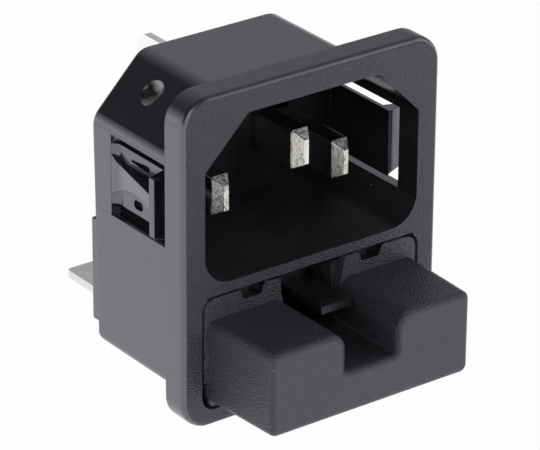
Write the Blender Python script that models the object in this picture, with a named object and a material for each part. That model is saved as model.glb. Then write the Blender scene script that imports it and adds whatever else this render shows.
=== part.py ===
"""Snap-in appliance inlet with a two-pole fuse drawer, at rest with the drawer shut.

Sizes are in millimetres and become metres as each mesh is made. The origin lies in the panel
plane, on the back of the flange, at the centre of the body. The front is -Y and up is +Z.
"""

import math

import bmesh
import bpy
from mathutils import Vector

MM = 0.001
FIT_GAP = 0.3  # clear space between any two pieces that touch in the real object

# Flange and body, one moulding
FLANGE_HALF = 14.85
FLANGE_TOP = 16.4
FLANGE_BOTTOM = -17.3
FLANGE_T = 2.9
FLANGE_CORNER = 3.0
FLANGE_EDGE = 0.6
BODY_HALF = 13.4
BODY_TOP = 14.45
BODY_BOTTOM = -14.65
BODY_CHAMFER = 5.6
BODY_CREASE = 2.2
REAR_LEAN = 0.022  # the rear face leans back by this much for each millimetre of height
REAR_RIM_TOP = -1.7
REAR_RIM_BOTTOM = -12.54
REAR_RIM_BACK = 0.42
REAR_BOTTOM_ROUND = 1.8

# Socket for the mating connector
SIDE_WALL = 1.0
TOP_WALL = 0.6
REAR_WALL = 1.95
SOCKET_HALF = BODY_HALF - SIDE_WALL
SOCKET_TOP = BODY_TOP - TOP_WALL
SOCKET_BOTTOM = -2.7
SOCKET_CHAMFER = 4.9
SOCKET_CORNER = 3.0
SOCKET_DEPTH = 14.9
SOCKET_FLOOR = SOCKET_DEPTH - FLANGE_T
DIMPLE_R = 1.38
DIMPLE_DEPTH = 0.45
DIMPLE_Y = 8.85
BODY_DEPTH = SOCKET_FLOOR + REAR_WALL

# Pins and the flat tabs behind them
PIN_T = 2.0
PIN_H = 4.0
PIN_X = 7.0
PIN_Z = 3.45
PIN_TIP = 4.1 - FLANGE_T
EARTH_Z = 7.46
EARTH_TIP = 1.1 - FLANGE_T
TIP_BEVEL = 0.74
TIP_LENGTH = 1.15
PIN_WALL = 0.9
PIN_END = SOCKET_FLOOR + PIN_WALL
TENON_T = 1.2
TENON_H = 2.4
TAB_W = 6.3
TAB_T = 0.8
TAB_Z = -12.0
TAB_REACH = 9.15
TAB_END = BODY_DEPTH + TAB_REACH
EARTH_TAB_REACH = 11.45
EARTH_TAB_END = BODY_DEPTH + EARTH_TAB_REACH
STRIP_T = 0.5
STRIP_W = 4.0

# Fuses, 5 x 20, lying front to back, and the width of the trays that hold them
FUSE_X = 7.4
TRAY_HALF = 3.7
TRAY_WALL = 0.75

# Drawer recess in the flange and the bay behind it
PARTITION = 1.06
BAY_TOP = SOCKET_BOTTOM - PARTITION
BAY_BOTTOM = -13.9
BAY_GAP = 0.35
BAY_HALF = FUSE_X + TRAY_HALF + TRAY_WALL + BAY_GAP
RECESS_LEDGE = 0.53  # step on each side of the bay that the drawer's plate seats on
RECESS_HALF = BAY_HALF + RECESS_LEDGE
RECESS_BOTTOM = -15.6
RECESS_DEPTH = 1.6
RECESS_CORNER = 1.5

# Fuse heights, lengths and parts
FUSE_Z = -9.9
FUSE_LENGTH = 20.0
FUSE_FRONT = -10.9
FUSE_REAR = FUSE_FRONT + FUSE_LENGTH
CAP_R = 2.6
CAP_LENGTH = 5.5
CAP_WALL = 0.25
TUBE_R = 2.05
TUBE_WALL = 0.45
WIRE_R = 0.12

# Fuse drawer
PLATE_GAP = 0.25
PLATE_HALF = RECESS_HALF - PLATE_GAP
PLATE_TOP = BAY_TOP - PLATE_GAP
PLATE_BOTTOM = RECESS_BOTTOM + PLATE_GAP
PLATE_BACK = RECESS_DEPTH - FLANGE_T - FIT_GAP
BLOCK_FRONT = -12.3
BLOCK_HALF_FRONT = 11.6
BLOCK_HALF_BACK = 12.1
BLOCK_TOP = -6.1
BLOCK_BOTTOM = -14.65
NOTCH_HALF = 3.0
NOTCH_FLOOR = -10.36
NOTCH_ROUND = 1.7
SLOT_HALF = 3.2
TRAY_FLOOR = BAY_BOTTOM + FIT_GAP
TRAY_TOP = -6.9
SHIELD_TOP = -4.6
SHIELD_REAR = 4.8
TRAY_REAR = FUSE_REAR + 0.5
FUSE_CLEAR = CAP_R + FIT_GAP
TONGUE_HALF = 1.72
TONGUE_TOP = -6.23
TONGUE_T = 0.77
TONGUE_FRONT = -6.65
TONGUE_REAR = TRAY_REAR - 3.1
CATCH_FRONT = 0.2
CATCH_CREST = 1.0
CATCH_REAR = 2.9

# Contact strips around the fuses
CLIP_FRONT = FUSE_REAR - 4.8
CLIP_REAR = FUSE_REAR + FIT_GAP + 0.1
STRIP_FRONT = 0.8
WING_Y = STRIP_FRONT + 2.1
WING_HALF = 1.3
WING_W = 4.8
BLADE_H = 3.0
CLIP_H = 3.0
CLIP_TAPER = 0.3
CLIP_PLATE_TOP = 2.3  # above the middle of the fuse
CLIP_PLATE_LOW = 0.55  # below the middle of the tab

# Snap arms in the side walls: a thin plate, a wedge on it and a bar along its free end
POCKET_REAR = 10.88
POCKET_TOP = 8.18
POCKET_BOTTOM = -0.19
ARM_ROOT = POCKET_REAR + 0.6
ARM_INNER = SOCKET_HALF + 0.03
ARM_T = 0.4
ARM_FRONT = 1.62
ARM_TOP = 7.22
ARM_BOTTOM = 0.35
ARM_BEVEL = 0.7
FLUSH = BODY_HALF - 0.02
WEDGE_TOP = 5.5
WEDGE_START = 9.26
WEDGE_LOW = 4.02
WEDGE_LOW_Y = 4.6
WEDGE_BOW = 0.052
BAR_LIFT = 1.4  # how far the crest of the bar stands out from the side wall
BAR_REACH = BODY_HALF + BAR_LIFT
BAR_CREST = (1.85, 2.65)
BAR_ROOT = (ARM_FRONT, 3.4)
BAR_BOTTOM = 1.2
DENT = 0.13

# Rear cover over the wiring space
COVER_HALF = 11.6
COVER_BOTTOM = -12.7
COVER_SHOULDER = 2.0
COVER_TOP = 6.6
COVER_T = 1.2
PLUG_HALF = BAY_HALF - FIT_GAP - 0.1
PLUG_FRONT = CLIP_REAR + TAB_T + FIT_GAP
PLUG_TOP = -5.0
PLUG_CORE_HALF = 3.2
PLUG_CORE_Z = (FUSE_Z - 0.3, FUSE_Z + 3.7)
COVER_FRONT = BODY_DEPTH + REAR_LEAN * COVER_TOP + FIT_GAP

PLACE = {
    "X": lambda u, v, w: (w, u, v),
    "Y": lambda u, v, w: (u, w, v),
    "Z": lambda u, v, w: (u, v, w),
}


def clear_scene():
    """Take away every object and mesh that a new file starts with."""
    for thing in list(bpy.data.objects):
        bpy.data.objects.remove(thing, do_unlink=True)
    for mesh in list(bpy.data.meshes):
        bpy.data.meshes.remove(mesh)


def outline(corners, inset=0.0, steps=6):
    """Closed anticlockwise outline from corners (u, v, radius), every side moved inwards by inset."""
    points = [Vector((u, v)) for u, v, _ in corners]
    sides = []
    for index, start in enumerate(points):
        along = (points[(index + 1) % len(points)] - start).normalized()
        sides.append((start + Vector((-along.y, along.x)) * inset, along))
    found = []
    for index, (_, _, radius) in enumerate(corners):
        start0, along0 = sides[index - 1]
        start1, along1 = sides[index]
        cross = along0.x * along1.y - along0.y * along1.x
        offset = start1 - start0
        corner = start0 + along0 * ((offset.x * along1.y - offset.y * along1.x) / cross)
        if radius <= 0.0:
            found.append((corner.x, corner.y))
            continue
        turn = math.atan2(cross, along0.dot(along1))
        bend = 1.0 if turn > 0.0 else -1.0
        reach = max(radius - bend * inset, 0.03)
        begin = corner - along0 * (reach * math.tan(abs(turn) / 2.0))
        centre = begin + Vector((-along0.y, along0.x)) * (reach * bend)
        arm = begin - centre
        for step in range(steps + 1):
            angle = turn * step / steps
            found.append(
                (
                    centre.x + arm.x * math.cos(angle) - arm.y * math.sin(angle),
                    centre.y + arm.x * math.sin(angle) + arm.y * math.cos(angle),
                )
            )
    return found


def mirrored(corners):
    """Add the mirror image in u = 0 of corners that run anticlockwise up the right-hand side."""
    return corners + [(-u, v, radius) for u, v, radius in reversed(corners)]


def loft(name, sections, axis="Y"):
    """Solid through sections (w, [(u, v), ...]) that all have the same number of points."""
    shape = bmesh.new()
    rings = []
    for height, points in sections:
        rings.append([shape.verts.new([MM * c for c in PLACE[axis](u, v, height)]) for u, v in points])
    for low, high in zip(rings, rings[1:]):
        for index in range(len(low)):
            after = (index + 1) % len(low)
            shape.faces.new((low[index], low[after], high[after], high[index]))
    shape.faces.new(rings[0])
    shape.faces.new(rings[-1])
    bmesh.ops.recalc_face_normals(shape, faces=shape.faces)
    mesh = bpy.data.meshes.new(name)
    shape.to_mesh(mesh)
    shape.free()
    thing = bpy.data.objects.new(name, mesh)
    bpy.context.scene.collection.objects.link(thing)
    return thing


def prism(name, corners, low, high, axis="Y", steps=6):
    """Straight solid of one outline between two heights along the axis."""
    points = outline(corners, 0.0, steps)
    return loft(name, [(low, points), (high, points)], axis)


def eased_prism(name, corners, low, high, low_round=0.0, high_round=0.0, axis="Y", steps=6, rings=4):
    """Straight solid whose end edges are rounded by the given radii."""
    sections = []
    for ring in range(rings + 1 if low_round else 1):
        angle = math.pi / 2.0 * ring / rings if low_round else math.pi / 2.0
        inset = low_round * (1.0 - math.sin(angle))
        sections.append((low + low_round * (1.0 - math.cos(angle)), outline(corners, inset, steps)))
    for ring in range(rings + 1 if high_round else 1):
        angle = math.pi / 2.0 * (rings - ring) / rings if high_round else math.pi / 2.0
        inset = high_round * (1.0 - math.sin(angle))
        sections.append((high - high_round * (1.0 - math.cos(angle)), outline(corners, inset, steps)))
    return loft(name, sections, axis)


def block(name, x, y, z):
    """Plain box between pairs of limits."""
    corners = [(x[0], z[0], 0), (x[1], z[0], 0), (x[1], z[1], 0), (x[0], z[1], 0)]
    return prism(name, corners, y[0], y[1])


def rectangle(half_u, half_v, radius, u=0.0, v=0.0):
    """Corners of a rectangle about (u, v)."""
    return [
        (u - half_u, v - half_v, radius),
        (u + half_u, v - half_v, radius),
        (u + half_u, v + half_v, radius),
        (u - half_u, v + half_v, radius),
    ]


def circle(radius, u=0.0, v=0.0, count=40):
    """Points of a circle about (u, v)."""
    return [
        (
            u + radius * math.cos(2.0 * math.pi * (index + 0.5) / count),
            v + radius * math.sin(2.0 * math.pi * (index + 0.5) / count),
        )
        for index in range(count)
    ]


def rod(name, radius, u, v, low, high, axis="Y", count=40):
    """Round solid along the axis."""
    points = circle(radius, u, v, count)
    return loft(name, [(low, points), (high, points)], axis)


def combine(body, tools, operation):
    """Join tools to body, or cut them from it, and keep only body."""
    for tool in tools:
        step = body.modifiers.new("shape", "BOOLEAN")
        step.operation = operation
        step.solver = "EXACT"
        step.object = tool
    graph = bpy.context.evaluated_depsgraph_get()
    made = bpy.data.meshes.new_from_object(body.evaluated_get(graph))
    body.modifiers.clear()
    old = body.data
    body.data = made
    bpy.data.meshes.remove(old)
    for tool in tools:
        mesh = tool.data
        bpy.data.objects.remove(tool, do_unlink=True)
        bpy.data.meshes.remove(mesh)
    return body


def join(body, *tools):
    return combine(body, tools, "UNION")


def cut(body, *tools):
    return combine(body, tools, "DIFFERENCE")


def body_corners():
    """Outline of the body: chamfered upper corners and small lower ones."""
    half, low, high, chamfer = BODY_HALF, BODY_BOTTOM, BODY_TOP, BODY_CHAMFER
    return mirrored(
        [
            (half, low, 1.0),
            (half, high - chamfer, BODY_CREASE),
            (half - chamfer, high, BODY_CREASE),
        ]
    )


def socket_corners():
    """Outline of the opening: chamfered upper corners and round lower ones."""
    half, low, high, chamfer = SOCKET_HALF, SOCKET_BOTTOM, SOCKET_TOP, SOCKET_CHAMFER
    return mirrored(
        [
            (half, low, SOCKET_CORNER),
            (half, high - chamfer, 0.6),
            (half - chamfer, high, 0.4),
        ]
    )


def sided(side, corners):
    """Corners (u, v, radius) moved to the left or right side, still anticlockwise."""
    placed = [(side * u, v, radius) for u, v, radius in corners]
    return placed if side > 0 else placed[::-1]


def arm_plate(side):
    """Thin plate whose lower edge is bevelled and whose root swells out flush with the body."""
    sections = []
    start = ARM_FRONT + 0.02
    swell_y = POCKET_REAR - 0.9
    ends = [start + (swell_y - start) * step / 3.0 for step in range(4)]
    ends += [swell_y + 0.9 * step / 6.0 for step in range(1, 7)] + [ARM_ROOT - 0.1]
    for y in ends:
        share = min(1.0, max(0.0, (y - swell_y) / 0.9))
        outer = ARM_INNER + ARM_T + (FLUSH - ARM_INNER - ARM_T) * share * share
        corners = [
            (ARM_INNER, ARM_BOTTOM, 0),
            (outer, ARM_BOTTOM + ARM_BEVEL, 0),
            (outer, ARM_TOP, 0),
            (ARM_INNER, ARM_TOP, 0),
        ]
        sections.append((y, [(u, v) for u, v, _ in sided(side, corners)]))
    return loft("arm", sections)


def arm_wedge(side):
    """Wedge that rises from the flush root to the crest of the bar, over a bowed lower edge."""
    sections = []
    count = 16
    front = BAR_CREST[1]
    inner = ARM_INNER + 0.15
    for index in range(count + 1):
        y = ARM_ROOT + (front - ARM_ROOT) * index / count
        rise = max(0.0, (WEDGE_START - y) / (WEDGE_START - front))
        far = FLUSH + (BAR_REACH - 0.02 - FLUSH) * rise
        low = WEDGE_LOW - WEDGE_BOW * (y - WEDGE_LOW_Y) ** 2
        swell = min(1.0, max(0.0, (y - 9.0) / (POCKET_REAR - 9.0)))
        top = WEDGE_TOP + 0.75 * swell * swell
        corners = [
            (inner, low, 0),
            (far - 0.06, low, 0),
            (far, low + 0.06, 0),
            (far, top - 0.06, 0),
            (far - 0.06, top, 0),
            (inner, top + 0.2, 0),
        ]
        sections.append((y, [(u, v) for u, v, _ in sided(side, corners)]))
    return loft("wedge", sections)


def arm_bar(side):
    """Bar across the free end, as sections from the plate out to its crest."""
    inner = ARM_INNER + 0.02
    sections = []
    for reach, inset in ((inner, 0.0), (BAR_REACH - 0.1, 0.0), (BAR_REACH - 0.03, 0.03), (BAR_REACH, 0.1)):
        share = (reach - inner) / (BAR_REACH - inner)
        front = BAR_ROOT[0] + (BAR_CREST[0] - BAR_ROOT[0]) * share
        rear = BAR_ROOT[1] + (BAR_CREST[1] - BAR_ROOT[1]) * share
        low = ARM_BOTTOM + 0.1 + (BAR_BOTTOM - ARM_BOTTOM - 0.1) * share
        corners = [
            (front, low, 0.12),
            (rear, low, 0.12),
            (rear, ARM_TOP - 0.04, 0.12),
            (front, ARM_TOP - 0.04, 0.12),
        ]
        sections.append((side * reach, outline(corners, inset, 3)))
    return loft("bar", sections, "X")


def snap_arm(side):
    """Springing arm in a pocket of the side wall, with two shallow dents from its ejector pins."""
    arm = join(arm_plate(side), arm_wedge(side), arm_bar(side))
    depth = sorted((side * (ARM_INNER + ARM_T - DENT), side * (ARM_INNER + ARM_T + 0.3)))
    long_dent = [
        (5.3, 6.12, 0.2),
        (5.9, 6.02, 0.2),
        (8.4, 6.15, 0.1),
        (8.3, 6.35, 0.1),
        (5.9, 6.62, 0.2),
        (5.3, 6.58, 0.2),
    ]
    round_dent = rectangle(0.72, 0.46, 0.4, 7.2, 2.0)
    return cut(arm, prism("dent", long_dent, *depth, "X", 4), prism("dent", round_dent, *depth, "X", 5))


def heel_tool():
    """Cutter that rounds the lower rear edge of the body."""
    corner_y = BODY_DEPTH + REAR_LEAN * BODY_BOTTOM
    heel = []
    for step in range(7):
        angle = math.pi / 12.0 * step
        heel.append(
            (
                corner_y - REAR_BOTTOM_ROUND * (1.0 - math.sin(angle)),
                BODY_BOTTOM + REAR_BOTTOM_ROUND * (1.0 - math.cos(angle)),
            )
        )
    heel.append((corner_y + 2.0, BODY_BOTTOM + REAR_BOTTOM_ROUND))
    heel.append((corner_y + 2.0, BODY_BOTTOM - 2.0))
    heel.append((corner_y - REAR_BOTTOM_ROUND, BODY_BOTTOM - 2.0))
    reach = BODY_HALF + 1.0
    return loft("heel", [(-reach, heel), (reach, heel)], "X")


def make_housing():
    """Flange, body, socket and bay, with a snap arm in a pocket on each side."""
    flange_mid = (FLANGE_TOP + FLANGE_BOTTOM) / 2.0
    flange_half = (FLANGE_TOP - FLANGE_BOTTOM) / 2.0
    flange = rectangle(FLANGE_HALF, flange_half, FLANGE_CORNER, 0.0, flange_mid)
    housing = eased_prism("housing", flange, -FLANGE_T, 0.0, FLANGE_EDGE, 0.0, steps=10)
    shell = eased_prism("body", body_corners(), -0.8, BODY_DEPTH, 0.0, 0.5, rings=3)
    for vert in shell.data.vertices:
        if vert.co.y > 0.0:
            vert.co.y += REAR_LEAN * vert.co.z
    rims = []
    for side in (-1.0, 1.0):
        corners = sided(
            side,
            [
                (BAY_HALF + 0.05, REAR_RIM_BOTTOM, 0.2),
                (FLUSH, REAR_RIM_BOTTOM, 0.2),
                (FLUSH, REAR_RIM_TOP, 0.2),
                (BAY_HALF + 0.05, REAR_RIM_TOP, 0.2),
            ],
        )
        rims.append(
            eased_prism("rim", corners, BODY_DEPTH - 1.5, BODY_DEPTH + REAR_RIM_BACK, 0.0, 0.15, rings=2)
        )
    join(housing, shell, *rims)

    socket = prism("socket", socket_corners(), -FLANGE_T - 1.0, SOCKET_FLOOR, steps=8)
    recess = prism(
        "recess",
        [
            (-RECESS_HALF, RECESS_BOTTOM, RECESS_CORNER),
            (RECESS_HALF, RECESS_BOTTOM, RECESS_CORNER),
            (RECESS_HALF, BAY_TOP, RECESS_CORNER),
            (-RECESS_HALF, BAY_TOP, RECESS_CORNER),
        ],
        -FLANGE_T - 1.0,
        -FLANGE_T + RECESS_DEPTH,
    )
    bay = prism(
        "bay",
        [
            (-BAY_HALF, BAY_BOTTOM, 0.4),
            (BAY_HALF, BAY_BOTTOM, 0.4),
            (BAY_HALF, BAY_TOP, 0.4),
            (-BAY_HALF, BAY_TOP, 0.4),
        ],
        -FLANGE_T - 0.5,
        BODY_DEPTH + 2.0,
        steps=3,
    )
    tools = [socket, recess, bay, heel_tool()]

    pin_hole = (PIN_T / 2.0 + 0.25, PIN_H / 2.0 + 0.25)
    for side in (-1.0, 1.0):
        x = side * PIN_X
        tools.append(
            prism("pin hole", rectangle(*pin_hole, 0.3, x, PIN_Z), SOCKET_FLOOR - 0.5, BODY_DEPTH, steps=2)
        )
        groove_half = STRIP_W / 2.0 + FIT_GAP
        tools.append(
            block(
                "strip groove",
                (x - groove_half, x + groove_half),
                (PIN_END, BODY_DEPTH + 1.0),
                (BAY_TOP - 0.5, PIN_Z + STRIP_W / 2.0 + 0.5),
            )
        )
        tools.append(
            block(
                "arm pocket",
                sorted((side * (SOCKET_HALF - 0.5), side * (BODY_HALF + 1.0))),
                (0.0, POCKET_REAR),
                (POCKET_BOTTOM, POCKET_TOP),
            )
        )
        tools.append(chamfer_dimple(side))
    tools.append(
        prism(
            "earth hole",
            rectangle(*pin_hole, 0.3, 0.0, EARTH_Z),
            SOCKET_FLOOR - 0.5,
            BODY_DEPTH + 1.0,
            steps=2,
        )
    )
    tab_clear = TAB_T / 2.0 + FIT_GAP
    tools.append(
        block(
            "earth tab slot",
            (-tab_clear, tab_clear),
            (PIN_END, BODY_DEPTH + 1.0),
            (EARTH_Z - TAB_W / 2.0 - FIT_GAP, EARTH_Z + TAB_W / 2.0 + FIT_GAP),
        )
    )
    cut(housing, *tools)
    join(housing, snap_arm(-1.0), snap_arm(1.0))
    return housing


def chamfer_dimple(side):
    """Shallow round bowl in the outside of the sloping wall, square to its face."""
    across = BODY_HALF - 0.6 * BODY_CHAMFER
    centre = Vector((side * across, DIMPLE_Y, BODY_HALF + BODY_TOP - BODY_CHAMFER - across))
    sphere = (DIMPLE_R**2 + DIMPLE_DEPTH**2) / (2.0 * DIMPLE_DEPTH)
    steepest = math.asin(DIMPLE_R / sphere)
    sections = []
    for ring in range(1, 9):
        slope = steepest * ring / 8.0
        height = sphere * (1.0 - math.cos(slope)) - DIMPLE_DEPTH
        sections.append((height, circle(sphere * math.sin(slope), count=32)))
    sections.append((2.0, circle(DIMPLE_R + 0.6, count=32)))
    bowl = loft("chamfer dimple", sections, "Z")
    turn = bowl.data
    angle = side * math.pi / 4.0
    for vert in turn.vertices:
        x, y, z = vert.co
        vert.co = (
            x * math.cos(angle) + z * math.sin(angle) + centre.x * MM,
            y + centre.y * MM,
            -x * math.sin(angle) + z * math.cos(angle) + centre.z * MM,
        )
    return bowl


def pin_sections(x, z, tip, end):
    """Rectangular pin whose tip has a flat bevel on all four sides, as sections along its length."""
    corners = rectangle(PIN_T / 2.0, PIN_H / 2.0, 0.2, x, z)
    return [
        (tip, outline(corners, TIP_BEVEL, 3)),
        (tip + TIP_LENGTH, outline(corners, 0.0, 3)),
        (end, outline(corners, 0.0, 3)),
    ]


def make_pin(name, x):
    pin = loft(name, pin_sections(x, PIN_Z, PIN_TIP, PIN_END))
    tenon = prism(
        "tenon", rectangle(TENON_T / 2.0, TENON_H / 2.0, 0.2, x, PIN_Z), PIN_END - 0.5, BODY_DEPTH, steps=2
    )
    return join(pin, tenon)


def make_earth_contact():
    contact = loft("earth_contact", pin_sections(0.0, EARTH_Z, EARTH_TIP, PIN_END + 0.5))
    low = EARTH_Z - TAB_W / 2.0
    high = EARTH_Z + TAB_W / 2.0
    start = PIN_END + FIT_GAP
    tab = prism(
        "tab",
        [
            (start, low, 0),
            (EARTH_TAB_END - 1.2, low, 0.3),
            (EARTH_TAB_END, low + 1.2, 0.3),
            (EARTH_TAB_END, high - 1.2, 0.3),
            (EARTH_TAB_END - 1.2, high, 0.3),
            (start, high, 0),
        ],
        -TAB_T / 2.0,
        TAB_T / 2.0,
        "X",
        3,
    )
    return join(contact, tab)


def make_input_contact(name, x):
    """Strip from the pin's tenon down the back of the socket and forward over the drawer."""
    back = PIN_END + FIT_GAP
    low = BAY_TOP - FIT_GAP - STRIP_T - 0.04
    top = PIN_Z + STRIP_W / 2.0
    side = [
        (STRIP_FRONT, low, 0),
        (back + STRIP_T, low, 0.9),
        (back + STRIP_T, top, 0),
        (back, top, 0),
        (back, low + STRIP_T, 0.4),
        (STRIP_FRONT, low + STRIP_T, 0),
    ]
    strip = prism(name, side, x - STRIP_W / 2.0, x + STRIP_W / 2.0, "X", 5)
    hole = prism(
        "hole",
        rectangle(TENON_T / 2.0 + FIT_GAP, TENON_H / 2.0 + FIT_GAP, 0.3, x, PIN_Z),
        back - 0.5,
        back + STRIP_T + 0.5,
        steps=2,
    )
    return cut(strip, hole)


def make_drawer_contact(name, side):
    """Blade beside the front cap, with a wing that meets the input contact."""
    face = FUSE_X - CAP_R - FIT_GAP
    low = FUSE_Z - BLADE_H / 2.0
    top = BAY_TOP - 2.0 * FIT_GAP - STRIP_T - 0.08
    rear = WING_Y + WING_HALF
    blade = prism(
        name,
        [
            (FUSE_FRONT, low, 0.3),
            (rear, low, 0.3),
            (rear, top, 0),
            (WING_Y - WING_HALF, top, 0),
            (WING_Y - WING_HALF, low + BLADE_H, 0.6),
            (FUSE_FRONT, low + BLADE_H, 0.3),
        ],
        *sorted((side * (face - STRIP_T), side * face)),
        "X",
        3,
    )
    wing = prism(
        "wing",
        rectangle(WING_W / 2.0, WING_HALF, 0.3, side * (face - STRIP_T / 2.0 + WING_W / 2.0), WING_Y),
        top - STRIP_T,
        top,
        "Z",
        3,
    )
    return join(blade, wing)


def make_load_terminal(name, side):
    """Rear fuse clip and flat tab, folded from one sheet."""
    x = side * FUSE_X
    plate_front = CLIP_REAR
    plate_back = plate_front + TAB_T
    half = FUSE_CLEAR + STRIP_T
    plate_z = (TAB_Z - CLIP_PLATE_LOW, FUSE_Z + CLIP_PLATE_TOP)
    terminal = block(name, (x - half, x + half), (plate_front, plate_back), plate_z)
    low = FUSE_Z - CLIP_H / 2.0
    high = FUSE_Z + CLIP_H / 2.0
    parts = []
    for edge in (-1.0, 1.0):
        limits = sorted((x + edge * FUSE_CLEAR, x + edge * half))
        parts.append(
            prism(
                "clip arm",
                [
                    (CLIP_FRONT, low + CLIP_TAPER, 0.4),
                    (plate_front + 0.3, low, 0),
                    (plate_front + 0.3, high, 0),
                    (CLIP_FRONT, high - CLIP_TAPER, 0.4),
                ],
                limits[0] + 0.01 * (edge > 0),
                limits[1] - 0.01 * (edge > 0),
                "X",
                3,
            )
        )
    tab = prism(
        "tab",
        [
            (x - TAB_W / 2.0, plate_back - 0.4, 0),
            (x + TAB_W / 2.0, plate_back - 0.4, 0),
            (x + TAB_W / 2.0, TAB_END, 0.4),
            (x - TAB_W / 2.0, TAB_END, 0.4),
        ],
        TAB_Z - TAB_T / 2.0,
        TAB_Z + TAB_T / 2.0,
        "Z",
        4,
    )
    return join(terminal, *parts, tab)


def make_rear_cover():
    """Plate with two raised ears over the strips and a plug that closes the bay."""
    ear = (PIN_X - 3.2, PIN_X + 3.2)
    plate = mirrored(
        [
            (COVER_HALF, COVER_BOTTOM, 0.8),
            (COVER_HALF, COVER_SHOULDER, 0.8),
            (ear[1], COVER_SHOULDER, 0.5),
            (ear[1], COVER_TOP, 0.8),
            (ear[0], COVER_TOP, 0.8),
            (ear[0], COVER_SHOULDER, 0.5),
        ]
    )
    front = COVER_FRONT
    cover = eased_prism("rear_cover", plate, front, front + COVER_T, 0.0, 0.2, steps=4, rings=2)
    plug = prism(
        "plug",
        [
            (-PLUG_HALF, BAY_BOTTOM + FIT_GAP + 0.1, 0.5),
            (PLUG_HALF, BAY_BOTTOM + FIT_GAP + 0.1, 0.5),
            (PLUG_HALF, PLUG_TOP, 0.5),
            (-PLUG_HALF, PLUG_TOP, 0.5),
        ],
        PLUG_FRONT,
        front + 0.3,
        steps=3,
    )
    join(cover, plug)
    slots = []
    for side in (-1.0, 1.0):
        x = side * FUSE_X
        half = TAB_W / 2.0 + FIT_GAP
        high = TAB_T / 2.0 + FIT_GAP
        depth = (PLUG_FRONT - 1.0, front + 3.0)
        slots.append(block("tab slot", (x - half, x + half), depth, (TAB_Z - high, TAB_Z + high)))
        core_x = (x - PLUG_CORE_HALF, x + PLUG_CORE_HALF)
        slots.append(block("core", core_x, (PLUG_FRONT - 1.0, front - 0.2), PLUG_CORE_Z))
    return cut(cover, *slots)


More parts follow.
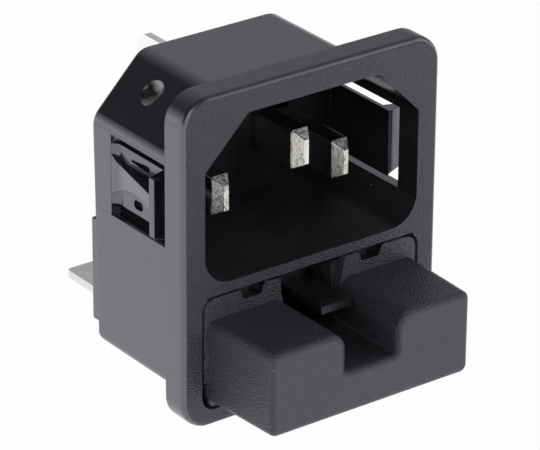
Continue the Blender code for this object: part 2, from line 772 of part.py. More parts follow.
def make_drawer():
    """Front plate, two finger blocks, two fuse trays and the latch tongue, one moulding."""
    plate = mirrored(
        [
            (11.95, PLATE_BOTTOM, 0.6),
            (11.95, -12.7, 0.2),
            (PLATE_HALF, -12.7, 0.2),
            (PLATE_HALF, PLATE_TOP, 1.25),
            (8.3, PLATE_TOP, 0.2),
            (7.95, PLATE_TOP - 1.0, 0.25),
            (5.9, PLATE_TOP - 1.0, 0.25),
            (5.66, PLATE_TOP, 0.5),
            (3.9, PLATE_TOP, 0.5),
            (SLOT_HALF + 0.05, -7.1, 0),
            (SLOT_HALF, NOTCH_FLOOR + 0.01, 0.3),
        ]
    )
    drawer = eased_prism("fuse_drawer", plate, -FLANGE_T, PLATE_BACK, 0.15, 0.0, steps=4, rings=2)

    def block_corners(share):
        half = BLOCK_HALF_FRONT + (BLOCK_HALF_BACK - BLOCK_HALF_FRONT) * share
        return mirrored(
            [
                (half, BLOCK_BOTTOM - 0.1 * share, 0.8),
                (half, BLOCK_TOP - 0.1 * share, 0.8),
                (NOTCH_HALF, BLOCK_TOP - 0.1 * share, NOTCH_ROUND),
                (NOTCH_HALF, NOTCH_FLOOR, 0.4),
            ]
        )

    sections = []
    rounding = 0.6
    for ring in range(6):
        angle = math.pi / 2.0 * ring / 5.0
        height = BLOCK_FRONT + rounding * (1.0 - math.cos(angle))
        inset = rounding * (1.0 - math.sin(angle))
        sections.append((height, outline(block_corners(0.05 * ring / 5.0), inset, 6)))
    sections.append((-FLANGE_T + 0.5, outline(block_corners(1.0), 0.0, 6)))
    grips = loft("finger blocks", sections)

    outer = FUSE_X + TRAY_HALF + TRAY_WALL
    floor_top = TRAY_FLOOR + TRAY_WALL
    trays = [block("tray floor", (-outer, outer), (PLATE_BACK - 0.5, TRAY_REAR), (TRAY_FLOOR, floor_top))]
    for side in (-1.0, 1.0):
        for edge in (-1.0, 1.0):
            near = side * (FUSE_X + edge * TRAY_HALF)
            far = side * (FUSE_X + edge * (TRAY_HALF + TRAY_WALL))
            wall = [
                (PLATE_BACK - 0.4, TRAY_FLOOR + 0.1, 0),
                (TRAY_REAR - 0.1, TRAY_FLOOR + 0.1, 0),
                (TRAY_REAR - 0.1, TRAY_TOP, 0.8),
            ]
            if edge < 0.0:
                wall += [
                    (SHIELD_REAR, TRAY_TOP, 0.4),
                    (SHIELD_REAR, SHIELD_TOP, 0.4),
                    (PLATE_BACK - 0.4, SHIELD_TOP, 0),
                ]
            else:
                wall += [(PLATE_BACK - 0.4, TRAY_TOP, 0)]
            low, high = sorted((near, far))
            trays.append(prism("tray wall", wall, low + 0.01, high - 0.01, "X", 4))
        for low in (0.2, 2.6):
            trays.append(
                block(
                    "cradle",
                    sorted((side * (FUSE_X - TRAY_HALF - 0.2), side * (FUSE_X + TRAY_HALF + 0.2))),
                    (low, low + 1.0),
                    (TRAY_FLOOR + 0.2, FUSE_Z + 1.0),
                )
            )
        cover_x = sorted((side * 5.5, side * 8.4))
        cover_y = (PLATE_BACK - 0.2, PLATE_BACK + 0.7)
        cover_z = (PLATE_TOP - 1.8, PLATE_TOP - 0.3)
        trays.append(block("slot cover", cover_x, cover_y, cover_z))
    inner = FUSE_X - TRAY_HALF
    root_y = (TONGUE_REAR - 0.5, TONGUE_REAR + 0.5)
    root_z = (TRAY_FLOOR + 0.3, TONGUE_TOP - 0.01)
    trays.append(block("tongue root", (-inner + 0.3, inner - 0.3), root_y, root_z))
    trays.append(
        block(
            "tongue",
            (-TONGUE_HALF, TONGUE_HALF),
            (TONGUE_FRONT, TONGUE_REAR),
            (TONGUE_TOP - TONGUE_T, TONGUE_TOP),
        )
    )
    trays.append(
        prism(
            "catch",
            [
                (CATCH_FRONT, TONGUE_TOP - 0.3, 0),
                (CATCH_REAR, TONGUE_TOP - 0.3, 0),
                (CATCH_CREST, BAY_TOP - FIT_GAP - 0.1, 0),
                (CATCH_FRONT, BAY_TOP - FIT_GAP - 0.1, 0),
            ],
            -TONGUE_HALF + 0.01,
            TONGUE_HALF - 0.01,
            "X",
        )
    )
    join(drawer, grips, *trays)

    hollows = []
    blade_out = FUSE_X - CAP_R - FIT_GAP
    for side in (-1.0, 1.0):
        hole_y = (FUSE_FRONT - FIT_GAP, TRAY_REAR + 1.0)
        hollows.append(rod("fuse hole", FUSE_CLEAR, side * FUSE_X, FUSE_Z, *hole_y))
        hollows.append(
            block(
                "blade slot",
                sorted((side * (blade_out - STRIP_T - FIT_GAP), side * (blade_out + 1.0))),
                (FUSE_FRONT - FIT_GAP, WING_Y + WING_HALF + 0.4),
                (FUSE_Z - 1.8, FUSE_Z + 1.8),
            )
        )
    return cut(drawer, *hollows)


def make_fuse(side, pole):
    """Glass tube, two end caps and the wire between them."""
    x = side * FUSE_X
    made = []
    tube = rod(pole + "_fuse_tube", TUBE_R, x, FUSE_Z, FUSE_FRONT + 0.6, FUSE_REAR - 0.6)
    bore = rod("bore", TUBE_R - TUBE_WALL, x, FUSE_Z, FUSE_FRONT, FUSE_REAR)
    made.append(cut(tube, bore))
    for name, end, inward in (("front", FUSE_FRONT, 1.0), ("rear", FUSE_REAR, -1.0)):
        corner = 0.25
        rings = []
        for step in range(4):
            angle = math.pi / 2.0 * step / 3.0
            along = end + inward * corner * (1.0 - math.cos(angle))
            rings.append((along, CAP_R - corner * (1.0 - math.sin(angle))))
        rings.append((end + inward * CAP_LENGTH, CAP_R))
        rings.append((end + inward * CAP_LENGTH, CAP_R - CAP_WALL))
        rings.append((end + inward * 0.3, CAP_R - CAP_WALL))
        made.append(loft(pole + "_fuse_" + name + "_cap", [(y, circle(r, x, FUSE_Z)) for y, r in rings]))
    made.append(rod(pole + "_fuse_wire", WIRE_R, x, FUSE_Z, FUSE_FRONT + 0.6, FUSE_REAR - 0.6, count=10))
    return made


def material(name, colour, roughness, metallic=0.0, transmission=0.0):
    made = bpy.data.materials.new(name)
    made.use_nodes = True
    shader = made.node_tree.nodes["Principled BSDF"]
    shader.inputs["Base Color"].default_value = (*colour, 1.0)
    shader.inputs["Roughness"].default_value = roughness
    shader.inputs["Metallic"].default_value = metallic
    shader.inputs["Transmission Weight"].default_value = transmission
    made.diffuse_color = (*colour, 1.0)
    return made


def finish(thing, colour, roughness, metallic=0.0, transmission=0.0):
    """Give a piece its own material and smooth its rounds."""
    thing.data.materials.clear()
    thing.data.materials.append(material(thing.name, colour, roughness, metallic, transmission))
    thing.data.name = thing.name
    thing.data.shade_smooth()
    thing.data.set_sharp_from_angle(angle=math.radians(35.0))


def main():
    clear_scene()
    plastic = (0.018, 0.018, 0.02)
    nickel = (0.78, 0.76, 0.72)
    bronze = (0.72, 0.5, 0.26)
    glass = (0.92, 0.95, 0.95)

    finish(make_housing(), plastic, 0.35)
    finish(make_rear_cover(), plastic, 0.45)
    finish(make_earth_contact(), nickel, 0.28, 1.0)
    moving = [make_drawer()]
    finish(moving[0], plastic, 0.5)
    for pole, side in (("line", -1.0), ("neutral", 1.0)):
        finish(make_pin(pole + "_pin", side * PIN_X), nickel, 0.25, 1.0)
        finish(make_input_contact(pole + "_input_contact", side * PIN_X), bronze, 0.3, 1.0)
        finish(make_load_terminal(pole + "_load_terminal", side), nickel, 0.3, 1.0)
        blade = make_drawer_contact(pole + "_drawer_contact", side)
        finish(blade, bronze, 0.3, 1.0)
        tube, front_cap, rear_cap, wire = make_fuse(side, pole)
        finish(tube, glass, 0.05, 0.0, 0.9)
        finish(front_cap, nickel, 0.22, 1.0)
        finish(rear_cap, nickel, 0.22, 1.0)
        finish(wire, nickel, 0.3, 1.0)
        moving.extend((blade, tube, front_cap, rear_cap, wire))

    slide = bpy.data.objects.new("drawer_slide_line", None)
    slide.location = (0.0, -FLANGE_T * MM, FUSE_Z * MM)
    bpy.context.scene.collection.objects.link(slide)
    bpy.context.view_layer.update()
    for thing in moving:
        thing.parent = slide
        thing.matrix_parent_inverse = slide.matrix_world.inverted()


main()
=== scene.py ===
"""Looks for a snap-in appliance inlet with a fuse drawer, set on a plain pale floor."""

import math

import bmesh
import bpy
import numpy as np
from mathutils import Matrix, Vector


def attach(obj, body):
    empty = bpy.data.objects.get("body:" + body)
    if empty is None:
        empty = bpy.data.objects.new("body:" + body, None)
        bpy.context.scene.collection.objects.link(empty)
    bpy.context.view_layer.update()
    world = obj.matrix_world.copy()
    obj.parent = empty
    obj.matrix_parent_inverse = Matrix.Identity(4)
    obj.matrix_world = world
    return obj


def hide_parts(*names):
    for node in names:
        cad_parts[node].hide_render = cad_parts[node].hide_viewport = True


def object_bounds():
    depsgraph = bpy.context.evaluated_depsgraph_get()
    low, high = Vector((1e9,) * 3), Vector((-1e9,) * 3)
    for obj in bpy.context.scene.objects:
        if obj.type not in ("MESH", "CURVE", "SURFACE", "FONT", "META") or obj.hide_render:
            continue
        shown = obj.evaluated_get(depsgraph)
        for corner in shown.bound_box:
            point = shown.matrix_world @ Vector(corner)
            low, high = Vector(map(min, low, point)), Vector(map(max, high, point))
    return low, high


MM = 0.001

# Places on the housing, in millimetres: X across from the middle, Y back from the panel and Z up
FLANGE_FACE = -2.5  # the front face and the flattest of its eased edge lie before this
FLANGE_BACK = -0.05  # the whole flange lies before this, apart from its back face
SIDE_FACE = 13.2  # the outer faces of the side walls lie beyond this
BODY_SLOPE = 22.25  # height plus distance across, the same all over a sloping wall's outer face
SOCKET_HALF = 12.4
SOCKET_TOP = 13.85
SOCKET_BOTTOM = -2.7
SOCKET_FLOOR = 12.0
SOCKET_SLOPE = 21.35  # the same sum on the wall's inner face
DULL_BELOW = -0.3  # the socket's faces under this height are duller
RECESS_SIDE = 12.9  # just past the side walls of the drawer recess
RECESS_TOP = -3.76
RECESS_FLOOR = -1.3
POCKET_REAR = 10.88
PARTING_Z = -0.1
PARTING_HALF = 0.05

# Wear on top of the flange: where it starts and is full, in millimetres up, and its roughness
WEAR_LOW = 14.2
WEAR_FULL = 16.2
WEAR_ROUGHNESS = 0.26

# Dimple in each sloping wall, in millimetres
DIMPLE_Y = 8.85
DIMPLE_RISE = 2.17  # height less distance across, at its middle
DIMPLE_RADIUS = 1.36
DIMPLE_REACH = 1.0  # most that its faces fall short of BODY_SLOPE

# Floors of the two dents in each snap arm, in millimetres
DENT_X = (12.62, 12.82)
LONG_DENT_Y = (5.2, 8.5)
LONG_DENT_Z = (5.95, 6.7)
ROUND_DENT_Y = (6.4, 8.0)
ROUND_DENT_Z = (1.48, 2.52)

# Latch tongue with its notch, and the slots in the fuse covers, in millimetres on the drawer
TONGUE_HALF = 3.3
TONGUE_FRONT = -12.0
TONGUE_LOW = -7.2
SLOT_X = (5.4, 8.6)
SLOT_Y = (-2.85, 0.5)
SLOT_LOW = -6.0

# Struck length of each pin's tip, and where the earth tab's paler plating starts, in millimetres
TIP_LENGTH = 1.15
EARTH_TAB_START = 13.5

# A face counts as on a wall when its middle is this near, in millimetres, and as facing
# forward when its normal has less than this along Y
NEAR = 0.02
FORWARD = -0.93

# Nickel plating, fresh and tarnished
NICKEL = (0.8, 0.78, 0.74)
TARNISH = (0.72, 0.69, 0.64)

# Corners weld on a grid of so many steps a metre, and triangles that turn by less than this
# angle, in degrees, join into one face
WELD_STEPS = 1e7
FLAT_ANGLE = 0.5

# Edges sharper than these, in degrees, stay crisp in shading or are eased, with so many steps
CRISP_ANGLE = 32.0
EASE_ANGLE = 40.0
EASE_STEPS = 2

# How white the floor looks to the camera and in gloss, with half its side and the gap that
# keeps it clear of the inlet, in metres
FLOOR_GLOW = 0.98
FLOOR_HALF = 3.0
FLOOR_GAP = 0.00002

# Soft light from all round, and how much weaker gloss sees it
FILL_LEVEL = 0.2
GLOSS_FILL_CUT = 0.17

# White sweep that only gloss sees: sine of the height where it starts to fade and is gone
SWEEP_LOW = 0.02
SWEEP_HIGH = 0.32

# Big soft panel behind the inlet that only gloss sees: its middle, soft edge and brightness
PANEL_AIM = (0.544, 0.722, 0.425)
PANEL_EDGE = (0.5, 0.98)
PANEL_LEVEL = 0.47

# Camera solved from the photograph: place in metres, turn in degrees, focal length in pixels of
# the photograph's width, and shift as a share of that width
CAMERA_PLACE = (-0.19074, -0.2525859, 0.1508694)
CAMERA_TURN = (64.3601759, -0.3807465, -36.4324305)
PHOTO_WIDTH = 540.0
FOCAL_PIXELS = 3722.82
SENSOR_WIDTH = 36.0
LENS_SHIFT = (0.0032, 0.0047)

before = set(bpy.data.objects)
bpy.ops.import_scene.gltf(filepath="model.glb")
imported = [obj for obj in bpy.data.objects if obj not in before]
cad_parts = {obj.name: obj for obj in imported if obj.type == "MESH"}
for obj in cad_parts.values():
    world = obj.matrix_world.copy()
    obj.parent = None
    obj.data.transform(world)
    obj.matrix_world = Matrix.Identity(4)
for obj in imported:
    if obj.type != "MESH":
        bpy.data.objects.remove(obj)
cad_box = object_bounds()


def new_material(name):
    """Empty node material with a Principled shader on its output."""
    made = bpy.data.materials.new(name)
    made.use_nodes = True
    tree = made.node_tree
    shader = tree.nodes["Principled BSDF"]
    return made, tree, shader


def object_coordinates(tree):
    """Place on the piece, in metres."""
    return tree.nodes.new("ShaderNodeTexCoord").outputs["Object"]


def separate(tree, place):
    """Node whose outputs are the X, Y and Z of a place or direction."""
    node = tree.nodes.new("ShaderNodeSeparateXYZ")
    tree.links.new(place, node.inputs["Vector"])
    return node.outputs


def stretched(tree, place, scale):
    """Place scaled along each axis; a noise read there is drawn out where the scale is small."""
    node = tree.nodes.new("ShaderNodeMapping")
    node.inputs["Scale"].default_value = scale
    tree.links.new(place, node.inputs["Vector"])
    return node.outputs["Vector"]


def noise(tree, place, scale, detail=2.0, roughness=0.5):
    """Noise of so many cells a metre, read at the surface's own place."""
    node = tree.nodes.new("ShaderNodeTexNoise")
    node.inputs["Scale"].default_value = scale
    node.inputs["Detail"].default_value = detail
    node.inputs["Roughness"].default_value = roughness
    tree.links.new(place, node.inputs["Vector"])
    return node.outputs["Fac"]


def ramp(tree, value, low, high, to_low=0.0, to_high=1.0):
    """Straight-line map of low..high to to_low..to_high, held at its ends."""
    node = tree.nodes.new("ShaderNodeMapRange")
    node.inputs["From Min"].default_value = low
    node.inputs["From Max"].default_value = high
    node.inputs["To Min"].default_value = to_low
    node.inputs["To Max"].default_value = to_high
    tree.links.new(value, node.inputs["Value"])
    return node.outputs["Result"]


def math_node(tree, operation, first, second=None):
    """Result of one sum on numbers or node outputs."""
    node = tree.nodes.new("ShaderNodeMath")
    node.operation = operation
    for index, value in enumerate((first, second)):
        if value is None:
            continue
        if isinstance(value, (int, float)):
            node.inputs[index].default_value = value
        else:
            tree.links.new(value, node.inputs[index])
    return node.outputs["Value"]


def bump(tree, height, strength, distance, onto=None):
    """Surface relief from a height field."""
    node = tree.nodes.new("ShaderNodeBump")
    node.inputs["Strength"].default_value = strength
    node.inputs["Distance"].default_value = distance
    tree.links.new(height, node.inputs["Height"])
    if onto is not None:
        tree.links.new(onto, node.inputs["Normal"])
    return node.outputs["Normal"]


def mix_colour(tree, share, first, second):
    """Colour that goes from first to second as the share rises; each is fixed or an output."""
    node = tree.nodes.new("ShaderNodeMix")
    node.data_type = "RGBA"
    tree.links.new(share, node.inputs["Factor"])
    for socket, colour in (("A", first), ("B", second)):
        if isinstance(colour, tuple):
            node.inputs[socket].default_value = (*colour, 1.0)
        else:
            tree.links.new(colour, node.inputs[socket])
    return node.outputs["Result"]


def mix_shader(tree, share, first, second, output):
    """Shader that goes from first to second as the share rises, on the tree's output node."""
    node = tree.nodes.new("ShaderNodeMixShader")
    tree.links.new(share, node.inputs["Fac"])
    tree.links.new(first, node.inputs[1])
    tree.links.new(second, node.inputs[2])
    tree.links.new(node.outputs["Shader"], tree.nodes[output].inputs["Surface"])


def specks(tree, place, scale, size, share):
    """Sparse round specks: 1 inside a speck and 0 elsewhere, in the given share of the cells."""
    cells = tree.nodes.new("ShaderNodeTexVoronoi")
    cells.inputs["Scale"].default_value = scale
    tree.links.new(place, cells.inputs["Vector"])
    near = math_node(tree, "LESS_THAN", cells.outputs["Distance"], size)
    split = tree.nodes.new("ShaderNodeSeparateColor")
    tree.links.new(cells.outputs["Color"], split.inputs["Color"])
    picked = math_node(tree, "LESS_THAN", split.outputs["Red"], share)
    return math_node(tree, "MULTIPLY", near, picked)


def band(tree, value, middle, half):
    """Soft mask of a stripe about the middle value, both in millimetres."""
    away = math_node(tree, "ABSOLUTE", math_node(tree, "SUBTRACT", value, MM * middle))
    return ramp(tree, away, MM * half * 0.5, MM * half, 1.0, 0.0)


def parting_line(tree, place):
    """Fine groove on each side wall, from the rear edge to the snap arm's pocket."""
    at = separate(tree, place)
    line = band(tree, at["Z"], PARTING_Z, PARTING_HALF)
    behind = math_node(tree, "GREATER_THAN", at["Y"], MM * POCKET_REAR)
    across = math_node(tree, "ABSOLUTE", at["X"])
    outside = math_node(tree, "GREATER_THAN", across, MM * SIDE_FACE)
    return math_node(tree, "MULTIPLY", line, math_node(tree, "MULTIPLY", behind, outside))


def flange_top_wear(tree, place):
    """Added roughness that fades in round the flange's upper corners and is full along its top."""
    at = separate(tree, place)
    height = ramp(tree, at["Z"], MM * WEAR_LOW, MM * WEAR_FULL, 0.0, WEAR_ROUGHNESS)
    on_flange = math_node(tree, "LESS_THAN", at["Y"], MM * FLANGE_BACK)
    return math_node(tree, "MULTIPLY", height, on_flange)


def black_moulding(name, shade, roughness, grain_depth, index, coat=0.0, marks=False):
    """Black nylon with cloudy colour, a roughness that drifts with the melt flow and a fine grain.

    shade is the mean base colour, roughness its lowest and highest value, grain_depth the strength
    of the eroded texture, and index the refractive index of the moulded skin. A few specks of dust
    lie on it, and marks adds the body's parting line and the wear on top of its flange.
    """
    made, tree, shader = new_material(name)
    place = object_coordinates(tree)
    cloud = noise(tree, place, 260.0, 4.0, 0.6)
    grain = noise(tree, place, 5600.0, 2.0, 0.7)
    flow = noise(tree, place, 900.0, 3.0, 0.5)
    low = tuple(0.75 * part for part in shade)
    high = tuple(1.25 * part for part in shade)
    plain = mix_colour(tree, ramp(tree, cloud, 0.3, 0.7), low, high)
    dust = specks(tree, place, scale=600.0, size=0.04, share=0.3)
    dusty = mix_colour(tree, math_node(tree, "MULTIPLY", dust, 0.75), plain, (0.7, 0.7, 0.72))
    tree.links.new(dusty, shader.inputs["Base Color"])
    from_flow = math_node(tree, "MULTIPLY", flow, 0.6)
    from_grain = math_node(tree, "MULTIPLY", grain, 0.4)
    dullness = ramp(tree, math_node(tree, "ADD", from_flow, from_grain), 0.35, 0.65, *roughness)
    if marks:
        dullness = math_node(tree, "ADD", dullness, flange_top_wear(tree, place))
    tree.links.new(dullness, shader.inputs["Roughness"])
    waves = bump(tree, flow, 0.05, 0.00003)
    relief = bump(tree, grain, grain_depth, 0.0005, waves)
    if marks:
        groove = math_node(tree, "MULTIPLY", parting_line(tree, place), -0.4)
        relief = bump(tree, groove, 1.0, 0.0001, relief)
    tree.links.new(relief, shader.inputs["Normal"])
    shader.inputs["IOR"].default_value = index
    shader.inputs["Specular Tint"].default_value = (0.87, 0.84, 1.0, 1.0)
    shader.inputs["Coat Weight"].default_value = coat
    shader.inputs["Coat Roughness"].default_value = 0.15
    return made


def mottled_material(name, cells, colours, colour_span, roughness, roughness_span, relief):
    """Material whose colour, roughness and relief all follow one noise.

    cells holds the noise's scale, detail and roughness. Each span is the stretch of the noise in
    which the colour or the roughness goes from its first value to its second, and relief holds the
    bump's strength and distance.
    """
    made, tree, shader = new_material(name)
    mottle = noise(tree, object_coordinates(tree), *cells)
    colour = mix_colour(tree, ramp(tree, mottle, *colour_span), *colours)
    tree.links.new(colour, shader.inputs["Base Color"])
    tree.links.new(ramp(tree, mottle, *roughness_span, *roughness), shader.inputs["Roughness"])
    tree.links.new(bump(tree, mottle, *relief), shader.inputs["Normal"])
    return made, shader


def shaded_dent_black(name):
    """Dents of the snap arms painted black and dull as painted shade, with glossy flecks left
    between.
    """
    made, shader = mottled_material(
        name,
        cells=(2600.0, 3.0, 0.6),
        colours=((0.002, 0.002, 0.002), (0.012, 0.012, 0.014)),
        colour_span=(0.45, 0.7),
        roughness=(0.6, 0.25),
        roughness_span=(0.4, 0.6),
        relief=(1.0, 0.0005),
    )
    shader.inputs["IOR"].default_value = 1.3
    shader.inputs["Specular IOR Level"].default_value = 0.15
    return made


def burnished_black(name):
    """Hard shiny skin that a core pin leaves in the bowl of a dimple, with a few scuffs."""
    made, shader = mottled_material(
        name,
        cells=(2200.0, 3.0, 0.6),
        colours=((0.006, 0.006, 0.007), (0.04, 0.04, 0.045)),
        colour_span=(0.4, 0.65),
        roughness=(0.08, 0.2),
        roughness_span=(0.35, 0.65),
        relief=(0.4, 0.00008),
    )
    shader.inputs["IOR"].default_value = 2.7
    return made


def highlight_nickel(name):
    """Struck top bevel of a pin's tip, made pale as a painted highlight: satin and mottled, with
    small dark dents.
    """
    made, shader = mottled_material(
        name,
        cells=(3000.0, 4.0, 0.65),
        colours=((0.16, 0.16, 0.17), (0.9, 0.9, 0.92)),
        colour_span=(0.4, 0.58),
        roughness=(0.25, 0.45),
        roughness_span=(0.35, 0.65),
        relief=(0.5, 0.00008),
    )
    shader.inputs["Metallic"].default_value = 0.35
    return made


def fuse_glass(name):
    """Clear tube glass with a faint green edge and drawn ripples."""
    made, shader = mottled_material(
        name,
        cells=(700.0, 2.0, 0.5),
        colours=((0.93, 0.97, 0.95), (0.97, 0.99, 0.98)),
        colour_span=(0.3, 0.7),
        roughness=(0.02, 0.06),
        roughness_span=(0.3, 0.7),
        relief=(0.05, 0.00002),
    )
    shader.inputs["Transmission Weight"].default_value = 1.0
    shader.inputs["IOR"].default_value = 1.5
    return made


def plated_metal(name, colour, darker, roughness, metallic=1.0, tip_end=None, tab_start=None):
    """Nickel or bronze with fine drawing streaks along its length and a slight tarnish.

    tip_end and tab_start are places in metres along Y. In front of tip_end the struck tip is
    duller, with uneven scratches and darker marks where the scratches run high. Behind tab_start
    the plating is paler.
    """
    made, tree, shader = new_material(name)
    place = object_coordinates(tree)
    along = separate(tree, place)["Y"]
    streaks = noise(tree, stretched(tree, place, (1.0, 0.06, 1.0)), 4000.0, 3.0, 0.6)
    cloud = noise(tree, place, 420.0, 3.0, 0.5)
    tint = mix_colour(tree, ramp(tree, cloud, 0.35, 0.75), colour, darker)
    if tab_start is not None:
        at_tab = ramp(tree, along, tab_start - 0.2 * MM, tab_start)
        tint = mix_colour(tree, at_tab, tint, (0.96, 0.95, 0.94))
    dullness = ramp(tree, streaks, 0.3, 0.7, roughness * 0.8, roughness * 1.3)
    relief = bump(tree, streaks, 0.04, 0.00002)
    if tip_end is not None:
        at_tip = ramp(tree, along, tip_end - 0.1 * MM, tip_end, 1.0, 0.0)
        dullness = math_node(tree, "ADD", dullness, math_node(tree, "MULTIPLY", at_tip, 0.1))
        scratches = noise(tree, stretched(tree, place, (1.0, 1.0, 0.6)), 3600.0, 4.0, 0.7)
        relief = bump(tree, math_node(tree, "MULTIPLY", scratches, at_tip), 0.45, 0.00011, relief)
        marks = ramp(tree, scratches, 0.52, 0.66, 0.0, 0.75)
        dark_marks = math_node(tree, "MULTIPLY", marks, at_tip)
        tint = mix_colour(tree, dark_marks, tint, (0.16, 0.15, 0.15))
    tree.links.new(tint, shader.inputs["Base Color"])
    tree.links.new(dullness, shader.inputs["Roughness"])
    tree.links.new(relief, shader.inputs["Normal"])
    shader.inputs["Metallic"].default_value = metallic
    return made


def merged_copy(node, name, material):
    """Copy of a CAD node with its loose triangles welded and its flat faces made whole.

    Corners that share a place on the grid are merged, triangles that share a plane become one
    face, and edges sharper than CRISP_ANGLE stay crisp.
    """
    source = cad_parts[node].data
    places = np.empty(len(source.vertices) * 3, np.float64)
    source.vertices.foreach_get("co", places)
    rounded = np.round(places.reshape(-1, 3) * WELD_STEPS).astype(np.int64)
    source.calc_loop_triangles()
    faces = np.empty(len(source.loop_triangles) * 3, np.int64)
    source.loop_triangles.foreach_get("vertices", faces)
    _, first, inverse = np.unique(rounded, axis=0, return_index=True, return_inverse=True)
    faces = inverse.reshape(-1)[faces].reshape(-1, 3)
    whole = np.all(faces != np.roll(faces, 1, axis=1), axis=1)
    mesh = bpy.data.meshes.new(name)
    mesh.from_pydata(places.reshape(-1, 3)[first].tolist(), [], faces[whole].tolist())
    work = bmesh.new()
    work.from_mesh(mesh)
    flat = math.radians(FLAT_ANGLE)
    bmesh.ops.dissolve_limit(work, angle_limit=flat, verts=work.verts, edges=work.edges)
    work.to_mesh(mesh)
    work.free()
    mesh.shade_smooth()
    mesh.set_sharp_from_angle(angle=math.radians(CRISP_ANGLE))
    mesh.materials.append(material)
    piece = bpy.data.objects.new(name, mesh)
    bpy.context.scene.collection.objects.link(piece)
    return piece


def edge_ease(piece, width):
    """Small rounding on every edge sharper than EASE_ANGLE, with the big faces shaded flat."""
    ease = piece.modifiers.new("edge_ease", "BEVEL")
    ease.width = width
    ease.segments = EASE_STEPS
    ease.limit_method = "ANGLE"
    ease.angle_limit = math.radians(EASE_ANGLE)
    ease.miter_outer = "MITER_ARC"
    ease.use_clamp_overlap = True
    level = piece.modifiers.new("level_faces", "WEIGHTED_NORMAL")
    level.mode = "FACE_AREA"
    level.weight = 80
    level.keep_sharp = True


def face_values(piece, what):
    """Middle or normal of each face, as three arrays for X, Y and Z."""
    polygons = piece.data.polygons
    values = np.empty(len(polygons) * 3)
    polygons.foreach_get(what, values)
    return values.reshape(-1, 3).T


def within(values, ends):
    """Which values lie between two ends."""
    return (values > ends[0]) & (values < ends[1])


def paint(piece, finish, region):
    """Give the picked faces a finish of their own, over what they had."""
    mesh = piece.data
    kinds = np.empty(len(mesh.polygons), np.int32)
    mesh.polygons.foreach_get("material_index", kinds)
    kinds[region] = len(mesh.materials)
    mesh.materials.append(finish)
    mesh.polygons.foreach_set("material_index", kinds)


def paint_housing(piece):
    """Matte front and recess, polished socket with a duller floor, dents painted dark as painted
    shade, and shiny dimples.
    """
    x, y, z = face_values(piece, "center") / MM
    across = np.abs(x)
    slope = z + across
    forward = face_values(piece, "normal")[1] < FORWARD
    flange_face = forward & (y < FLANGE_FACE)
    recess = (across < RECESS_SIDE) & (y < RECESS_FLOOR + NEAR) & (z < RECESS_TOP + NEAR)
    paint(piece, face_black, flange_face | recess)
    socket = within(z, (SOCKET_BOTTOM - NEAR, SOCKET_TOP + NEAR))
    socket &= within(y, (FLANGE_FACE, SOCKET_FLOOR + NEAR))
    socket &= (across < SOCKET_HALF + NEAR) & (slope < SOCKET_SLOPE + NEAR)
    paint(piece, core_black, socket)
    paint(piece, sill_black, socket & (z < DULL_BELOW))
    # The floors of the dents take a dark, dull finish that is painted shade
    long_dent = within(y, LONG_DENT_Y) & within(z, LONG_DENT_Z)
    round_dent = within(y, ROUND_DENT_Y) & within(z, ROUND_DENT_Z)
    paint(piece, dent_painted_shade, within(across, DENT_X) & (long_dent | round_dent))
    from_dimple = np.hypot(y - DIMPLE_Y, (z - across - DIMPLE_RISE) / math.sqrt(2.0))
    below = within(slope, (BODY_SLOPE - DIMPLE_REACH, BODY_SLOPE - NEAR))
    paint(piece, bowl_black, below & (from_dimple < DIMPLE_RADIUS) & ~socket)


def paint_tip_highlight(piece):
    """Pale finish as a painted highlight on the struck top bevel of a pin's tip, which is its only
    face that slopes so.
    """
    sideways, rearward, up = face_values(piece, "normal")
    bevel = within(rearward, (-0.95, -0.3)) & (up > 0.3) & (np.abs(sideways) < 0.5)
    paint(piece, tip_painted_highlight, bevel)


def paint_drawer(piece):
    """Smooth finish on the latch tongue, on the walls round it and inside the two slots."""
    x, y, z = face_values(piece, "center") / MM
    across = np.abs(x)
    tongue = (across < TONGUE_HALF) & (y > TONGUE_FRONT) & (z > TONGUE_LOW)
    slots = within(across, SLOT_X) & within(y, SLOT_Y) & (z > SLOT_LOW)
    paint(piece, latch_black, tongue | slots)


def tip_end(node):
    """Place along Y, in metres, where the struck tip of a pin ends."""
    front = min(corner.co.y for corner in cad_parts[node].data.vertices)
    return front + MM * TIP_LENGTH


body_black = black_moulding(
    "body_black",
    shade=(0.0125, 0.012, 0.0145),
    roughness=(0.16, 0.22),
    grain_depth=0.02,
    index=2.33,
    coat=0.15,
    marks=True,
)
face_black = black_moulding(
    "face_black",
    shade=(0.02, 0.019, 0.0215),
    roughness=(0.4, 0.5),
    grain_depth=1.0,
    index=2.15,
)
core_black = black_moulding(
    "core_black",
    shade=(0.022, 0.0215, 0.023),
    roughness=(0.14, 0.2),
    grain_depth=0.01,
    index=1.55,
)
sill_black = black_moulding(
    "sill_black",
    shade=(0.024, 0.0232, 0.0262),
    roughness=(0.3, 0.38),
    grain_depth=0.05,
    index=1.45,
)
drawer_black = black_moulding(
    "drawer_black",
    shade=(0.013, 0.012, 0.0145),
    roughness=(0.3, 0.38),
    grain_depth=0.75,
    index=2.02,
)
latch_black = black_moulding(
    "latch_black",
    shade=(0.012, 0.0115, 0.013),
    roughness=(0.25, 0.32),
    grain_depth=0.05,
    index=1.7,
)
# Dark dull finish for the dents of the snap arms: painted shade
dent_painted_shade = shaded_dent_black("dent_painted_shade")
bowl_black = burnished_black("bowl_black")
pin_nickel = plated_metal("pin_nickel", NICKEL, TARNISH, 0.12, tip_end=tip_end("line_pin"))
earth_nickel = plated_metal(
    "earth_nickel",
    NICKEL,
    TARNISH,
    0.12,
    tip_end=tip_end("earth_contact"),
    tab_start=MM * EARTH_TAB_START,
)
tab_nickel = plated_metal("tab_nickel", (0.95, 0.94, 0.93), (0.9, 0.88, 0.87), 0.34, metallic=0.75)
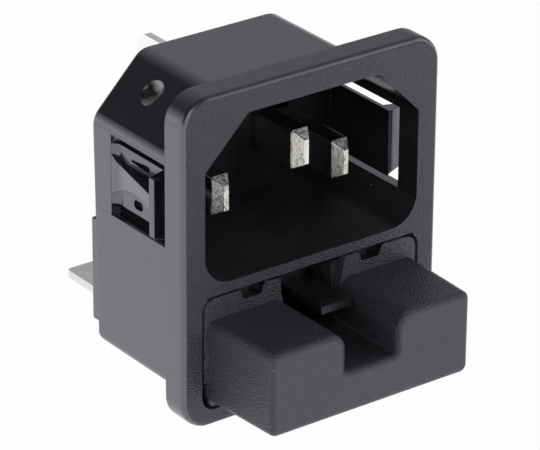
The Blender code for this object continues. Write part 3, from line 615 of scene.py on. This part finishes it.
# Pale satin finish for the pins' top bevels: a painted highlight
tip_painted_highlight = highlight_nickel("tip_painted_highlight")
contact_bronze = plated_metal("contact_bronze", (0.74, 0.52, 0.28), (0.62, 0.42, 0.22), 0.3)
cap_nickel = plated_metal("cap_nickel", (0.8, 0.79, 0.76), (0.7, 0.68, 0.66), 0.2)
tube_glass = fuse_glass("tube_glass")

# Body, material, slot, edge easing in millimetres and painter of each node that gets a new piece
FINISH = {
    "housing": ("inlet", body_black, "body_plastic", 0.08, paint_housing),
    "rear_cover": ("inlet", body_black, "body_plastic", 0.12, None),
    "fuse_drawer": ("drawer", drawer_black, "drawer_plastic", 0.1, paint_drawer),
    "line_pin": ("inlet", pin_nickel, "pin_nickel", 0.08, paint_tip_highlight),
    "neutral_pin": ("inlet", pin_nickel, "pin_nickel", 0.08, paint_tip_highlight),
    "earth_contact": ("inlet", earth_nickel, "pin_nickel", 0.08, paint_tip_highlight),
    "line_load_terminal": ("inlet", tab_nickel, "pin_nickel", 0.08, None),
    "neutral_load_terminal": ("inlet", tab_nickel, "pin_nickel", 0.08, None),
}

for node, (body, material, slot, ease, painter) in FINISH.items():
    piece = merged_copy(node, node + "_finished", material)
    edge_ease(piece, MM * ease)
    if painter is not None:
        painter(piece)
    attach(piece, body)
    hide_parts(node)

for node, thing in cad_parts.items():
    if node in FINISH:
        continue
    material = contact_bronze
    if node.endswith("_cap") or node.endswith("_wire"):
        material = cap_nickel
    elif node.endswith("_tube"):
        material = tube_glass
    thing.data.materials.clear()
    thing.data.materials.append(material)


def pale_floor(height):
    """Level floor that looks white to the camera and in gloss, and else takes light and shadow."""
    corners = [
        (FLOOR_HALF * x, FLOOR_HALF * y, height)
        for x, y in ((-1, -1), (1, -1), (1, 1), (-1, 1))
    ]
    mesh = bpy.data.meshes.new("floor")
    mesh.from_pydata(corners, [], [(0, 1, 2, 3)])
    floor = bpy.data.objects.new("floor", mesh)
    bpy.context.scene.collection.objects.link(floor)
    made, tree, shader = new_material("floor_pale")
    shader.inputs["Base Color"].default_value = (0.86, 0.86, 0.86, 1.0)
    shader.inputs["Roughness"].default_value = 0.9
    glow = tree.nodes.new("ShaderNodeEmission")
    glow.inputs["Color"].default_value = (1.0, 1.0, 1.0, 1.0)
    rays = tree.nodes.new("ShaderNodeLightPath").outputs
    mirrored = math_node(tree, "MAXIMUM", rays["Is Glossy Ray"], rays["Is Transmission Ray"])
    seen = math_node(tree, "MAXIMUM", rays["Is Camera Ray"], mirrored)
    share = math_node(tree, "MULTIPLY", seen, FLOOR_GLOW)
    lit = shader.outputs["BSDF"]
    mix_shader(tree, share, lit, glow.outputs["Emission"], "Material Output")
    mesh.materials.append(made)


def studio_world():
    """White to the camera, soft light from all round, and a sweep and panel that gloss sees."""
    world = bpy.data.worlds.new("studio")
    bpy.context.scene.world = world
    world.use_nodes = True
    tree = world.node_tree
    rays = tree.nodes.new("ShaderNodeLightPath").outputs
    back = tree.nodes["Background"]
    back.inputs["Color"].default_value = (0.93, 0.94, 1.0, 1.0)
    cut = math_node(tree, "MULTIPLY", rays["Is Glossy Ray"], -GLOSS_FILL_CUT)
    tree.links.new(math_node(tree, "ADD", cut, FILL_LEVEL), back.inputs["Strength"])
    white = tree.nodes.new("ShaderNodeBackground")
    white.inputs["Strength"].default_value = 1.0
    facing = tree.nodes.new("ShaderNodeTexCoord").outputs["Generated"]
    sweep = ramp(tree, separate(tree, facing)["Z"], SWEEP_LOW, SWEEP_HIGH, 1.0, 0.0)
    aim = tree.nodes.new("ShaderNodeVectorMath")
    aim.operation = "DOT_PRODUCT"
    tree.links.new(facing, aim.inputs[0])
    aim.inputs[1].default_value = PANEL_AIM
    panel = ramp(tree, aim.outputs["Value"], *PANEL_EDGE, 0.0, PANEL_LEVEL)
    shine = math_node(tree, "MAXIMUM", sweep, panel)
    gloss = math_node(tree, "MULTIPLY", rays["Is Glossy Ray"], shine)
    share = math_node(tree, "MAXIMUM", rays["Is Camera Ray"], gloss)
    mix_shader(tree, share, back.outputs["Background"], white.outputs["Background"], "World Output")


def soft_box(name, place, size, watts):
    """Square lamp that faces the middle of the inlet."""
    lamp = bpy.data.lights.new(name, "AREA")
    lamp.shape = "SQUARE"
    lamp.size = size
    lamp.energy = watts
    thing = bpy.data.objects.new(name, lamp)
    thing.location = place
    thing.rotation_euler = (-Vector(place)).to_track_quat("-Z", "Y").to_euler()
    bpy.context.scene.collection.objects.link(thing)


def photo_camera():
    """Camera at the photograph's place, turn and focal length."""
    lens = bpy.data.cameras.new("photo")
    lens.sensor_width = SENSOR_WIDTH
    lens.lens = FOCAL_PIXELS / PHOTO_WIDTH * SENSOR_WIDTH
    lens.shift_x, lens.shift_y = LENS_SHIFT
    lens.clip_start = 0.01
    lens.clip_end = 20.0
    camera = bpy.data.objects.new("photo", lens)
    camera.location = CAMERA_PLACE
    camera.rotation_euler = [math.radians(angle) for angle in CAMERA_TURN]
    bpy.context.scene.collection.objects.link(camera)
    bpy.context.scene.camera = camera


pale_floor(cad_box[0][2] - FLOOR_GAP)
studio_world()

# Lamps: place and size in metres, strength in watts
soft_box("right_rear", (0.55, 0.73, 0.43), size=0.8, watts=0.05)
soft_box("left_low", (-0.6, 0.5, 0.1), size=0.5, watts=0.3)
soft_box("front_left", (-0.5, -0.55, 0.45), size=0.6, watts=1.7)
soft_box("front_right", (0.62, -0.42, 0.36), size=0.6, watts=1.7)

photo_camera()
bpy.context.scene.view_settings.view_transform = "Standard"
